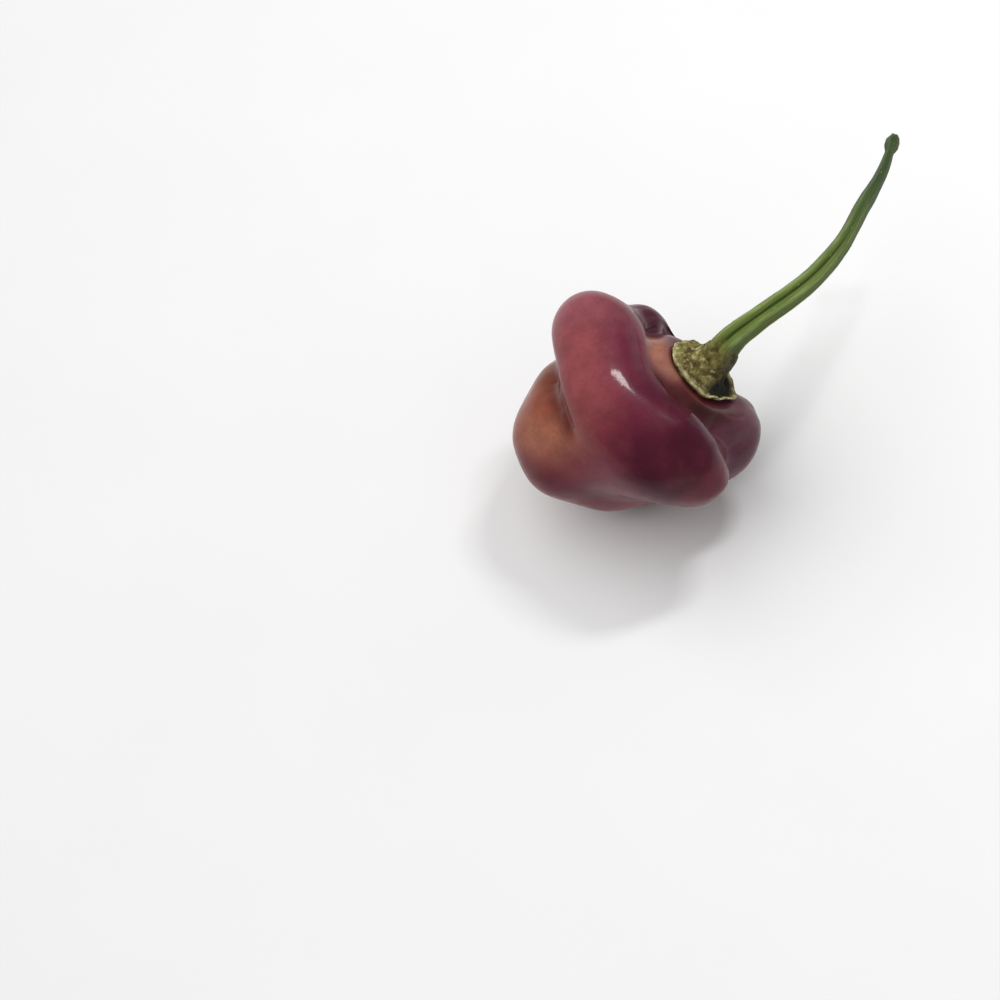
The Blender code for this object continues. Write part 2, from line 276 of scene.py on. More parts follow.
# The groove is a wide and a narrow dip, each with its share of the depth, and fades along the stem.
GROOVE_DIPS = ((radians(15), 0.62), (radians(6), 0.38))
GROOVE_FADE = (0.42, 0.72)
# Bearing of the stem's underside, darkened with painted shade near the calyx.
SHADED_UNDERSIDE_AROUND = radians(200)
# Half outline of the dry scar on the stem's end, in mm: distance from the axis and height.
SCAR_PROFILE = (
    (0.62, -0.12), (0.60, 0.03), (0.52, 0.10), (0.42, 0.06), (0.34, 0.09), (0.22, 0.04), (0.12, 0.08)
)

# Lights: where each stands from the pepper's middle, its size, and how far it leans sideways.
LIGHT_CENTRE = Vector((-2.0, -2.0, 26.0)) * MM
LightPlace = namedtuple("LightPlace", "bearing lift distance width height slant")
KEY_LIGHT = LightPlace(radians(7), radians(60), 0.35, 0.034, 0.085, radians(45))
STEM_LIGHT = LightPlace(radians(-8), radians(12), 0.35, 0.10, 0.14, 0.0)
FILL_BEARING = radians(125)
FILL_LIFT = radians(58)
FILL_ANGLE = radians(70)
FLOOR_REACH = 3.0
FLOOR_DROP = 0.02 * MM

# Photograph's view: the camera's bearing and height, and where the seat lies in the picture.
VIEW_AZIMUTH = radians(-45)
VIEW_ELEVATION = radians(58)
VIEW_DISTANCE = 0.50
# Evens out the slight stretch of what lies off the middle of the picture.
VIEW_EASE = 0.995
PIXEL = 0.13 * MM
PICTURE_PIXELS = 1000
SEAT_PIXEL = (699, 372)
AIM_PIXEL = (705, 325)


def paint(red, green, blue):
    """A colour given in screen values, as the linear values that Blender's shaders take."""
    return tuple(((part / 255 + 0.055) / 1.055) ** 2.4 for part in (red, green, blue))


def number_property(name, description, number, least, most, **kind):
    return FloatProperty(name=name, description=description, default=number, min=least, max=most, **kind)


def count_property(name, description, count, least, most):
    return IntProperty(name=name, description=description, default=count, min=least, max=most)


def colour_property(name, description, colour):
    return FloatVectorProperty(
        name=name, description=description, default=colour, size=3, min=0.0, max=1.0, subtype="COLOR"
    )


def length_property(name, description, length, most):
    return number_property(name, description, length, 0.0, most, precision=5, unit="LENGTH")


class PodSettings(bpy.types.PropertyGroup):
    fold_depth: length_property("Fold Depth", "Depth of the finest creases of the skin", 0.55 * MM, 2 * MM)
    undulation: length_property("Undulation", "Height of the skin's soft unevenness", 0.05 * MM, 0.5 * MM)
    wine: colour_property("Wine", "Main colour of the skin", paint(106, 34, 50))
    pink: colour_property("Pink", "Flush on the ridge", paint(130, 64, 67))
    mauve: colour_property("Mauve", "Colour of the top lobe", paint(132, 70, 78))
    purple: colour_property("Purple", "Shaded side of the ridge", paint(94, 25, 50))
    # Partly the skin's own dark purple and partly painted shade, low on the belly and along the ridge's
    # edge by the furrow.
    deep: colour_property("Deep", "Darkest skin, on the belly", paint(64, 11, 32))
    plum: colour_property("Plum", "Skin of the far side", paint(68, 20, 37))
    slate: colour_property("Slate", "Greyish lobes beside the calyx", paint(88, 54, 66))
    tan: colour_property("Tan", "Ripening skin towards the blossom end", paint(142, 82, 54))
    apricot: colour_property("Apricot", "Ripening ring round the calyx", paint(154, 104, 85))
    red: colour_property("Red", "Flush low on the blossom side", paint(84, 12, 32))
    # Painted shade: red brown shade in the crease, beside it on the tan bulge, and beside the calyx's rim.
    rust_shade: colour_property("Rust", "Red brown skin in the crease and beside it", paint(90, 33, 27))
    umber: colour_property("Umber", "Shade in the furrow", paint(56, 22, 21))


class CalyxSettings(bpy.types.PropertyGroup):
    rib_rise: length_property("Rib Rise", "Height of the calyx's ribs", 0.28 * MM, 1 * MM)
    hollow_depth: length_property("Hollow Depth", "Depth of the dish under the stem", 0.65 * MM, 1 * MM)
    cork_height: length_property("Cork Height", "Height of the corky wrinkles", 0.16 * MM, 0.5 * MM)
    wart_size: length_property("Wart Size", "Longest corky wart", 0.34 * MM, 0.6 * MM)
    wart_count: count_property("Wart Count", "How many warts are scattered", 36, 0, 400)
    olive: colour_property("Olive", "Main colour of the calyx", paint(118, 111, 62))
    bark: colour_property("Bark", "Corky patches", paint(78, 66, 38))
    cork: colour_property("Cork", "Corky warts", paint(158, 148, 98))
    straw: colour_property("Straw", "Thin dry rim", paint(206, 196, 150))
    # Painted shade: dark colour for the dish under the stem, and for the stem's underside by the calyx.
    shade: colour_property("Shade", "Floor of the dish", paint(26, 28, 25))


class StemSettings(bpy.types.PropertyGroup):
    thickness: number_property(
        "Thickness", "Scale of the stem's thickness", 1.0, 0.8, 1.2, subtype="FACTOR"
    )
    rib_depth: number_property(
        "Rib Depth", "Depth of the ribs, as a share of the half thickness", 0.08, 0.0, 0.2,
        subtype="FACTOR",
    )
    groove_depth: number_property(
        "Groove Depth", "Depth of the long groove, as a share of the half thickness", 0.17, 0.0, 0.4,
        subtype="FACTOR",
    )
    ribs: count_property("Ribs", "How many ribs run along the stem", 5, 3, 9)
    fleck_count: count_property("Fleck Count", "How many pale flecks are scattered", 90, 0, 400)
    fleck_size: length_property("Fleck Size", "Length of the longest fleck", 0.5 * MM, 1 * MM)
    leaf: colour_property("Leaf", "Fresh green of the lower stem", paint(91, 108, 49))
    pale: colour_property("Pale", "Pale ribs", paint(140, 156, 98))
    moss: colour_property("Moss", "Darker green of the upper stem", paint(58, 73, 45))
    # Painted shade: dark colour for the bottom of the long groove.
    groove: colour_property("Groove", "Bottom of the long groove", paint(44, 58, 22))
    scar: colour_property("Scar", "Dry end of the stem", paint(118, 104, 76))


class StageSettings(bpy.types.PropertyGroup):
    floor: colour_property("Floor", "Colour of the plain floor", (0.8, 0.8, 0.8))
    sky_strength: number_property("Sky Strength", "Light from all round", 0.42, 0.0, 3.0)
    key_power: number_property("Key Power", "Power of the small bright light", 0.4, 0.0, 5.0, unit="POWER")
    fill_strength: number_property("Fill Strength", "Strength of the broad soft light", 1.95, 0.0, 10.0)
    rim_power: number_property(
        "Rim Power", "Power of the strip beside the stem", 0.03, 0.0, 5.0, unit="POWER"
    )


# Shapes

def smooth_step(low, high, value):
    share = np.clip((value - low) / (high - low), 0.0, 1.0)
    return share * share * (3.0 - 2.0 * share)


def bell(value, centre, width):
    return np.exp(-0.5 * ((value - centre) / width) ** 2)


def bearing_bell(around, middle, spread):
    """1 at the middle bearing and less to each side, the same after a full turn."""
    return np.exp((np.cos(around - middle) - 1.0) / spread ** 2)


def full_turn(count):
    """Bearings at equal steps round a full turn."""
    return 2 * pi * np.arange(count) / count


def at_bearings(distance, around, height):
    """Points at the given distances and bearings from the axis, and the given heights."""
    return np.column_stack([distance * np.cos(around), distance * np.sin(around), height])


def waves(around, rows):
    """Sum of sine waves, each with its count, start and size."""
    return sum(size * np.sin(count * around + start) for count, start, size in rows)


def rib_crests(around):
    """The calyx's ribs and the small ones between them: 1 on each crest, 0 halfway."""
    return 0.5 + 0.5 * np.cos(CALYX_RIBS * around), 0.5 + 0.5 * np.cos(2 * CALYX_RIBS * around)


def direction(bearing, lift):
    """The way that points at a bearing about +Z from +X and a lift above the floor."""
    return Vector((cos(lift) * cos(bearing), cos(lift) * sin(bearing), sin(lift)))


def smooth_curve(points, count):
    """Points at equal steps of length along the smooth curve through the given ones."""
    ends = np.vstack([2 * points[0] - points[1], points, 2 * points[-1] - points[-2]])
    fine = []
    for p0, p1, p2, p3 in zip(ends, ends[1:], ends[2:], ends[3:]):
        for u in np.linspace(0.0, 1.0, 40, endpoint=False):
            bow = 2 * p0 - 5 * p1 + 4 * p2 - p3
            twist = 3 * p1 - p0 - 3 * p2 + p3
            fine.append(0.5 * (2 * p1 + (p2 - p0) * u + bow * u ** 2 + twist * u ** 3))
    fine = np.array(fine + [points[-1]])
    run = np.concatenate([[0.0], np.cumsum(np.linalg.norm(np.diff(fine, axis=0), axis=1))])
    steps = np.linspace(0.0, run[-1], count)
    return np.column_stack([np.interp(steps, run, fine[:, k]) for k in range(fine.shape[1])])


def uneven(points, scale, seed):
    """Smooth noise, about -1 to 1, at each point; scale is the size of its lumps."""
    shift = Vector((seed * 13.7, seed * 5.3, seed * 9.1))
    return np.array([noise.noise(Vector(point) / scale + shift) for point in points])


def pod_to_row(points):
    """Points from the pod's own frame to the row's."""
    return points @ POD_TURN.T + np.array(SEAT_PLACE)


OUTLINE = smooth_curve(POD_OUTLINE, 400)
OUTLINE_MARKS = np.linspace(0.0, 1.0, len(OUTLINE))
# The outline's first steps lie under the calyx.
SEAT_STEPS = 90


def outline_at(along):
    return np.interp(along, OUTLINE_MARKS, OUTLINE[:, 0]), np.interp(along, OUTLINE_MARKS, OUTLINE[:, 1])


def line_gaps(points, line):
    """Distance from each point of the turned pod to each step of a line, and the steps' values."""
    line = np.array(line, float)
    steps = np.linspace(0.0, len(line) - 1.0, 1 + 10 * (len(line) - 1))
    values = [np.interp(steps, range(len(line)), line[:, k]) for k in range(line.shape[1])]
    around = np.radians(values[0])
    distance, height = outline_at(values[1])
    trail = at_bearings(distance, around, height)
    return np.linalg.norm(points[:, None, :] - trail, axis=-1), values


def fold_rise(points, fold):
    gaps, values = line_gaps(points, fold.line)
    return fold.rise * np.max(values[2] * np.exp(-0.5 * (gaps / fold.width) ** 2), axis=-1)


def shaped_pod(around, along, settings):
    """The pod's skin at each (around, along), in its own frame, and the same points before the folds."""
    distance, height = outline_at(along)
    nearby = 0.5 / len(OUTLINE)
    before, after = outline_at(along - nearby), outline_at(along + nearby)
    run_out, run_up = after[0] - before[0], after[1] - before[1]
    length = np.hypot(run_out, run_up)
    out, up = -run_up / length, run_out / length
    points, normals = at_bearings(distance, around, height), at_bearings(out, around, up)
    rise = sum(fold_rise(points, fold) for fold in FOLDS)
    rise += settings.fold_depth * sum(fold_rise(points, fold) for fold in FINE_FOLDS)
    lumps = uneven(points, scale=5.0 * MM, seed=1) + 0.35 * uneven(points, scale=1.9 * MM, seed=2)
    rise += settings.undulation * lumps
    near_seat = height > -SEAT_DEPTH
    level = SEAT_RADIUS - SEAT_FAR_TRIM * bearing_bell(around, SEAT_FAR_AROUND, SEAT_FAR_SPREAD)
    rise *= np.where(near_seat, smooth_step(level, level + SEAT_BLEND, distance), 1.0)
    shaped = points + rise[:, None] * normals
    centre = smooth_curve(CENTRE_LINE, 200)[::-1]
    shaped[:, 0] += np.interp(height, centre[:, 0], centre[:, 1])
    shaped[:, 1] += np.interp(height, centre[:, 0], centre[:, 2])
    return shaped, points


def closed_faces(rings, sides):
    """Faces over a near pole, rings of corners and a far pole, in that order."""
    last = 1 + rings * sides
    faces = []
    for side in range(sides):
        beside = (side + 1) % sides
        faces.append((0, 1 + side, 1 + beside))
        for ring in range(rings - 1):
            row, following = 1 + ring * sides, 1 + (ring + 1) * sides
            faces.append((row + side, following + side, following + beside, row + beside))
        faces.append((last, last - sides + beside, last - sides + side))
    return faces


def new_mesh(name, corners, edges, faces):
    mesh = bpy.data.meshes.new(name)
    mesh.from_pydata([tuple(corner) for corner in corners], edges, faces)
    return mesh


def plain_mesh(name, corners, faces):
    """A mesh from corners and faces, with its faces turned outwards."""
    mesh = new_mesh(name, corners, [], faces)
    face_outwards(mesh)
    return mesh


def face_outwards(mesh):
    bm = bmesh.new()
    bm.from_mesh(mesh)
    bmesh.ops.recalc_face_normals(bm, faces=bm.faces)
    bm.to_mesh(mesh)
    bm.free()
    mesh.shade_smooth()


def give_values(mesh, name, values):
    """Store one number, vector or colour for each corner of a mesh, for its material or node tree."""
    values = np.asarray(values, float)
    kinds = {1: ("FLOAT", "value"), 3: ("FLOAT_VECTOR", "vector"), 4: ("FLOAT_COLOR", "color")}
    kind, field = kinds[1 if values.ndim == 1 else values.shape[1]]
    attribute = mesh.attributes.new(name, kind, "POINT")
    attribute.data.foreach_set(field, values.astype(np.float32).ravel())


def add_object(name, data):
    new = bpy.data.objects.new(name, data)
    bpy.context.scene.collection.objects.link(new)
    return new


def add_piece(name, mesh, material, slot, *nodes):
    """Show a finished mesh as a piece that rides on the pepper and stands for the given solids."""
    mesh.name = name
    mesh.materials.clear()
    mesh.materials.append(material)
    piece = add_object(name, mesh)
    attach(piece, "root")
    if nodes:
        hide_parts(*nodes)
    return piece


# Node trees

def add_node(tree, kind, inputs=None, **settings):
    node = tree.nodes.new(kind)
    for name, value in settings.items():
        setattr(node, name, value)
    for key, value in (inputs or {}).items():
        if isinstance(value, bpy.types.NodeSocket):
            tree.links.new(value, node.inputs[key])
        else:
            node.inputs[key].default_value = value
    return node


def new_material(name, roughness, coat=0.0, coat_roughness=0.1, subsurface=0.0):
    """A Principled material. Values that are the same all over are set on its own sockets."""
    material = bpy.data.materials.new(name)
    material.use_nodes = True
    tree = material.node_tree
    shader = tree.nodes["Principled BSDF"]
    values = {
        "Roughness": roughness,
        "IOR": 1.4,
        "Specular IOR Level": 0.12,
        "Coat Weight": coat,
        "Coat IOR": 1.4,
        "Coat Roughness": coat_roughness,
        "Subsurface Weight": subsurface,
        "Subsurface Scale": 1.2 * MM,
        "Subsurface Radius": (1.0, 0.35, 0.25),
    }
    for socket, value in values.items():
        shader.inputs[socket].default_value = value
    return material, tree, shader


def object_place(tree):
    return add_node(tree, "ShaderNodeTexCoord").outputs["Object"]


def read_values(tree, name):
    return add_node(tree, "ShaderNodeAttribute", attribute_name=name)


def noise_share(tree, place, scale, detail=3.0, low=0.3, high=0.7, to_low=0.0, to_high=1.0):
    """Noise stretched from its usual low..high to the given range."""
    grain = add_node(tree, "ShaderNodeTexNoise", {"Vector": place, "Scale": scale, "Detail": detail})
    return spread(tree, grain.outputs["Fac"], low, high, to_low, to_high)


def spread(tree, value, low, high, to_low=0.0, to_high=1.0):
    inputs = {"Value": value, "From Min": low, "From Max": high, "To Min": to_low, "To Max": to_high}
    return add_node(tree, "ShaderNodeMapRange", inputs).outputs["Result"]


def maths(tree, operation, *values):
    return add_node(tree, "ShaderNodeMath", dict(enumerate(values)), operation=operation).outputs[0]


def times(tree, first, *others):
    """Product of two or more values."""
    for other in others:
        first = maths(tree, "MULTIPLY", first, other)
    return first


def scaled(tree, vector, scale):
    return vector_maths(tree, "SCALE", vector, scale=scale)


def store_value(tree, geometry, name, value, kind):
    """Keep a value at each point of a geometry under a name."""
    inputs = {"Geometry": geometry, "Name": name, "Value": value}
    node = add_node(tree, "GeometryNodeStoreNamedAttribute", inputs, data_type=kind, domain="POINT")
    return node.outputs[0]


def mix_colours(tree, share, first, second):
    """Mix two colours; each may be a socket or a plain colour."""
    def full(colour):
        return colour if isinstance(colour, bpy.types.NodeSocket) else (*colour, 1.0)

    inputs = {0: share, 6: full(first), 7: full(second)}
    return add_node(tree, "ShaderNodeMix", inputs, data_type="RGBA").outputs[2]


def add_bump(tree, shader, height, strength, depth, normal=None):
    inputs = {"Height": height, "Strength": strength, "Distance": depth}
    if normal is not None:
        inputs["Normal"] = normal
    bump = add_node(tree, "ShaderNodeBump", inputs)
    tree.links.new(bump.outputs["Normal"], shader.inputs["Normal"])
    return bump.outputs["Normal"]


def new_shape_tree(name, sockets):
    """A Geometry Nodes tree with a geometry input and output and the named inputs of each kind."""
    tree = bpy.data.node_groups.new(name, "GeometryNodeTree")
    tree.interface.new_socket(name="Geometry", in_out="INPUT", socket_type="NodeSocketGeometry")
    for socket_name, kind in sockets.items():
        tree.interface.new_socket(name=socket_name, in_out="INPUT", socket_type=f"NodeSocket{kind}")
    tree.interface.new_socket(name="Geometry", in_out="OUTPUT", socket_type="NodeSocketGeometry")
    return tree, add_node(tree, "NodeGroupInput").outputs


def end_shape_tree(tree, geometry, material):
    """Close a tree: smooth shading, real faces and the material."""
    smooth = add_node(tree, "GeometryNodeSetShadeSmooth", {"Geometry": geometry})
    real = add_node(tree, "GeometryNodeRealizeInstances", {"Geometry": smooth.outputs[0]})
    inputs = {"Geometry": real.outputs[0], "Material": material}
    finished = add_node(tree, "GeometryNodeSetMaterial", inputs)
    add_node(tree, "NodeGroupOutput", {0: finished.outputs[0]})


def grown_mesh(name, base, tree, values):
    """Run a tree on a base mesh and return the plain mesh that comes out, its faces outwards."""
    grower = add_object(name, base)
    modifier = grower.modifiers.new(tree.name, "NODES")
    modifier.node_group = tree
    for item in tree.interface.items_tree:
        if item.in_out == "INPUT" and item.name in values:
            modifier[item.identifier] = values[item.name]
    graph = bpy.context.evaluated_depsgraph_get()
    mesh = bpy.data.meshes.new_from_object(
        grower.evaluated_get(graph), preserve_all_data_layers=True, depsgraph=graph
    )
    grower.modifiers.remove(modifier)
    bpy.data.objects.remove(grower)
    if not mesh.polygons:
        raise RuntimeError(f"{name} came out empty")
    face_outwards(mesh)
    return mesh


def vector_maths(tree, operation, *values, scale=None):
    inputs = dict(enumerate(values))
    if scale is not None:
        inputs["Scale"] = scale
    return add_node(tree, "ShaderNodeVectorMath", inputs, operation=operation).outputs[0]


def circle(tree, sides, radius):
    inputs = {"Resolution": sides, "Radius": radius}
    return add_node(tree, "GeometryNodeCurvePrimitiveCircle", inputs).outputs[0]


def named_value(tree, name, kind="FLOAT"):
    node = add_node(tree, "GeometryNodeInputNamedAttribute", {"Name": name}, data_type=kind)
    return node.outputs["Attribute"]


# Pod

def skin_material(settings):
    material, tree, shader = new_material(
        "glossy pod skin", roughness=0.4, coat=0.35, coat_roughness=0.1, subsurface=0.05
    )
    place = object_place(tree)
    tint = read_values(tree, "skin_tint").outputs["Color"]
    mottle = noise_share(tree, place, scale=420.0, detail=5.0, to_low=0.86, to_high=1.14)
    grain = noise_share(tree, place, scale=2400.0, detail=2.0, to_low=0.93, to_high=1.07)
    shaded = scaled(tree, tint, times(tree, mottle, grain))
    flush = noise_share(tree, place, scale=230.0, detail=6.0, low=0.52, high=0.74, to_high=0.22)
    skin = mix_colours(tree, flush, shaded, settings.pink)
    tree.links.new(skin, shader.inputs["Base Color"])
    rough = noise_share(tree, place, scale=600.0, detail=4.0, to_low=0.28, to_high=0.42)
    tree.links.new(rough, shader.inputs["Roughness"])
    lumps = noise_share(tree, place, scale=700.0)
    first = add_bump(tree, shader, lumps, strength=0.12, depth=0.1 * MM)
    pores = noise_share(tree, place, scale=3200.0, detail=2.0)
    add_bump(tree, shader, pores, strength=0.06, depth=0.03 * MM, normal=first)
    return material


def skin_tint(points, around, along, settings):
    """Colour of the skin at each point: the main colour, then each zone over it with an uneven edge."""
    edge = 1.0 + 0.22 * uneven(points, scale=2.6 * MM, seed=5)
    edge += 0.12 * uneven(points, scale=1.0 * MM, seed=6)
    colour = np.tile(np.array(settings.wine), (len(points), 1))
    for zone in ZONES:
        gaps, _ = line_gaps(points, zone.line)
        nearest = gaps.min(axis=-1) * edge
        weight = zone.share * np.exp(-0.5 * (nearest / zone.width) ** 2)
        colour += weight[:, None] * (np.array(getattr(settings, zone.colour)) - colour)
    run = at_bearings(4.0, around, 1.6 * along)
    streaks = 1.0 + 0.10 * uneven(run, scale=0.45, seed=7)
    return np.column_stack([colour * streaks[:, None], np.ones(len(points))])


class PEPPER_OT_pod(bpy.types.Operator):
    """Make the lobed, folded skin of the pod"""

    bl_idname = "pepper.pod"
    bl_label = "Pod Skin"

    def execute(self, context):
        settings = context.scene.pepper_pod
        turns = full_turn(POD_SIDES)
        marks = np.linspace(0.0, 1.0, POD_RINGS + 2)[1:-1]
        around = np.concatenate([[0.0], np.tile(turns, POD_RINGS), [0.0]])
        along = np.concatenate([[0.0], np.repeat(marks, POD_SIDES), [1.0]])
        shaped, points = shaped_pod(around, along, settings)
        corners = pod_to_row(shaped)
        corners[:, 2] = np.maximum(corners[:, 2], 0.0)
        mesh = plain_mesh("pod_skin", corners, closed_faces(POD_RINGS, POD_SIDES))
        give_values(mesh, "skin_tint", skin_tint(points, around, along, settings))
        add_piece("pod_skin", mesh, skin_material(settings), "pod_skin", "pod")
        return {"FINISHED"}


def scar_material(name, colour, dark):
    """Dry, rough scar tissue."""
    material, tree, shader = new_material(name, roughness=0.85)
    place = object_place(tree)
    patch = noise_share(tree, place, scale=2600.0, detail=5.0)
    tree.links.new(mix_colours(tree, patch, dark, colour), shader.inputs["Base Color"])
    grain = noise_share(tree, place, scale=5200.0, detail=4.0)
    add_bump(tree, shader, grain, strength=0.5, depth=0.08 * MM)
    return material


class PEPPER_OT_blossom_scar(bpy.types.Operator):
    """Make the small dry scar at the blossom end"""

    bl_idname = "pepper.blossom_scar"
    bl_label = "Blossom Scar"

    def execute(self, context):
        settings = context.scene.pepper_pod
        rings, sides = 16, 48
        shares = np.linspace(1.0, 0.0, rings + 1)[:-1]
        turns = full_turn(sides)
        around = np.concatenate([np.tile(turns, rings), [0.0]])
        share = np.concatenate([np.repeat(shares, sides), [0.0]])
        wobble = 1.0 + 0.18 * np.sin(3 * around + 0.6) + 0.1 * np.sin(5 * around)
        shaped, _ = shaped_pod(around, 1.0 - BLOSSOM_SCAR_REACH * share * wobble, settings)
        dome = BLOSSOM_SCAR_RISE * (1.0 - share ** 2) ** 0.5
        petals = 0.75 + 0.25 * np.cos(7 * around)
        pit = smooth_step(0.0, 0.35, share + 0.1)
        tuck = 0.06 * MM * smooth_step(0.8, 1.0, share)
        shaped[:, 2] -= dome * petals * pit - tuck
        under = np.array([shaped[-1] + (0.0, 0.0, 0.5 * MM)])
        corners = pod_to_row(np.vstack([under, shaped]))
        mesh = plain_mesh("blossom_scar", corners, closed_faces(rings, sides))
        material = scar_material("dry blossom scar", paint(150, 112, 74), paint(72, 48, 32))
        add_piece("blossom_scar", mesh, material, "calyx_skin")
        return {"FINISHED"}


# Calyx

def facing(around, middle, width):
    """1 at the middle bearing and less to each side, by the cosine of the angle between."""
    return bell(np.cos(around - middle), 1.0, width)


def calyx_rim(around):
    """Reach of the rim at each bearing, drawn out into a tooth at each rib's end."""
    crest, minor = rib_crests(around)
    tooth = CALYX_TOOTH * (0.7 * crest ** 3 + 0.3 * minor) - 0.1 * MM * np.sin(3 * around)
    tooth += CALYX_CORNER * bearing_bell(around, CALYX_CORNER_AROUND, CALYX_CORNER_SPREAD)
    tooth -= CALYX_TRIM * np.sin(around) ** 2 * (1.0 - CALYX_TRIM_LEAN * np.sin(around))
    return CALYX_OUTLINE[0, 0] + tooth + waves(around, RIM_NICKS)


def rim_height(around):
    """Height of the rim's upper edge; it stands up more on the side below the stem."""
    lift = DISH_RIM_LIFT * facing(around, DISH_AROUND, 0.5)
    bumps = sum(size * bearing_bell(around, place, RIM_BUMP_SPREAD) for place, size in RIM_BUMPS)
    return RIM_HEIGHT + lift + bumps + waves(around, RIM_WAVES)


def calyx_top(distance, around, settings):
    """Height of the calyx's upper side with its ribs and its dish, and the share of painted shade in the
    dish there.
    """
    upper = smooth_curve(CALYX_OUTLINE, 60)[::-1]
    height = np.interp(distance, upper[:, 0], upper[:, 1])
    crest, minor = rib_crests(around)
    on_slope = smooth_step(*RIB_START, distance) * (1.0 - smooth_step(*RIB_END, distance))
    height += settings.rib_rise * on_slope * (crest ** 2 + 0.4 * minor)
    low_side = facing(around, DISH_AROUND, 0.62)
    height -= settings.hollow_depth * low_side * bell(distance, *DISH_RING)
    height += SWELL_RISE * facing(around, SWELL_AROUND, 0.5) * bell(distance, *SWELL_RING)
    # The second value is the share of painted shade over the dish.
    return height, low_side * bell(distance, *DISH_SHADE_RING)


def calyx_rows(around, settings):
    """Rings of the cap, from its underside over the rim to the throat, and how many reach the rim.

    Each ring gives the distance, height, rim share and share of painted dish shade at every bearing.
    """
    rim, edge = calyx_rim(around), rim_height(around)
    rows = []

    def add_row(distance, height, rim_share=0.0, dish_shade_share=0.0):
        parts = np.broadcast_arrays(distance, height, rim_share, dish_shade_share, around)
        rows.append(np.column_stack(parts[:4]))

    def seat_height(distance):
        return np.interp(distance, OUTLINE[:SEAT_STEPS, 0], OUTLINE[:SEAT_STEPS, 1])

    for share in np.linspace(0.08, 0.985, CALYX_UNDER_RINGS):
        distance = share * (rim - RIM_UNDERCUT)
        add_row(distance, seat_height(distance) + CALYX_UNDER - 0.2 * MM * smooth_step(0.6, 0.9, share))
    seat = seat_height(rim)
    lowest, highest = RIM_LEANS[0], RIM_LEANS[-1]
    for lean in RIM_LEANS:
        set_back = RIM_UNDERCUT * (highest - lean) / (highest - lowest)
        height = 0.5 * (edge + seat) + lean * 0.5 * (edge - seat)
        add_row(rim - set_back, height, smooth_step(0.0, 1.0, lean))
    add_row(rim - 0.05 * MM, edge, 1.0)
    to_rim = len(rows)
    for inward in np.linspace(0.0, 1.0, CALYX_TOP_RINGS + 1)[1:]:
        distance = (rim - 0.12 * MM) * (1.0 - inward) + THROAT_RADIUS * inward
        height, dish = calyx_top(distance, around, settings)
        blend = smooth_step(0.0, 0.22, inward)
        height = (edge + 0.02 * MM) * (1.0 - blend) + height * blend
        add_row(distance, height, np.exp(-(inward / 0.09) ** 2), dish)
    for share in (0.8, 0.4):
        add_row(THROAT_RADIUS * share, THROAT_HEIGHT)
    return rows, to_rim


class PEPPER_OT_calyx(bpy.types.Operator):
    """Make the flared green cap with its ribs, corky wrinkles and thin rim"""

    bl_idname = "pepper.calyx"
    bl_label = "Calyx"

    def execute(self, context):
        settings = context.scene.pepper_calyx
        turns = full_turn(CALYX_SIDES)
        rows, to_rim = calyx_rows(turns, settings)
        distance, height, rim_share, dish = np.vstack(rows).T
        around = np.tile(turns, len(rows))
        points = at_bearings(distance, around, height)
        ring = np.repeat(np.arange(len(rows)), CALYX_SIDES).astype(float)
        is_top = smooth_step(to_rim - 0.5, to_rim + 7.0, ring)
        wrinkles = uneven(at_bearings(6.0, around, distance / (1.6 * MM)), scale=0.5, seed=3)
        cork = 0.6 * wrinkles + 0.6 * uneven(points, scale=0.55 * MM, seed=4)
        points[:, 2] += settings.cork_height * cork * is_top
        corners = pod_to_row(np.vstack([(0.0, 0.0, CALYX_UNDER), points, (0.0, 0.0, THROAT_HEIGHT)]))
        mesh = plain_mesh("calyx_cap", corners, closed_faces(len(rows), CALYX_SIDES))
        # The marks hold the rim share, the share of painted shade in the dish, and where warts may go.
        marks = np.column_stack([rim_share, dish, is_top * (dish < 0.25)])
        give_values(mesh, "calyx_marks", np.vstack([(0, 0, 0), marks, (0, 0, 0)]))
        add_piece("calyx_cap", mesh, cork_material(settings), "calyx_skin", "calyx")
        return {"FINISHED"}


def cork_material(settings):
    """Corky green skin: rim, painted shade in the dish and wrinkled top are told apart by the calyx_marks
    values.
    """
    material, tree, shader = new_material("corky calyx", roughness=0.72, subsurface=0.05)
    place = object_place(tree)
    marks = read_values(tree, "calyx_marks").outputs["Vector"]
    parts = add_node(tree, "ShaderNodeSeparateXYZ", {0: marks}).outputs
    patches = noise_share(tree, place, scale=900.0, detail=6.0, low=0.42, high=0.60)
    skin = mix_colours(tree, patches, settings.olive, settings.bark)
    specks = noise_share(tree, place, scale=1500.0, detail=5.0, low=0.52, high=0.72, to_high=0.6)
    skin = mix_colours(tree, specks, skin, settings.straw)
    # Painted shade: the dish under the stem is darkened towards the shade colour.
    dish = spread(tree, parts[1], 0.2, 0.65, to_high=0.96)
    skin = mix_colours(tree, dish, skin, settings.shade)
    broken = noise_share(tree, place, scale=1500.0, low=0.35, high=0.6, to_low=0.35)
    skin = mix_colours(tree, times(tree, parts[0], broken), skin, settings.straw)
    tree.links.new(skin, shader.inputs["Base Color"])
    grain = noise_share(tree, place, scale=2600.0, detail=5.0)
    add_bump(tree, shader, grain, strength=0.6, depth=0.12 * MM)
    return material


def straw_material(name, colour, dark):
    """Thin dry tissue: the rim, the warts and the stem's flecks."""
    material, tree, shader = new_material(name, roughness=0.7, subsurface=0.1)
    place = object_place(tree)
    patch = noise_share(tree, place, scale=2200.0, detail=4.0, low=0.35, high=0.65)
    tree.links.new(mix_colours(tree, patch, dark, colour), shader.inputs["Base Color"])
    add_bump(tree, shader, noise_share(tree, place, scale=6000.0), strength=0.4, depth=0.05 * MM)
    return material


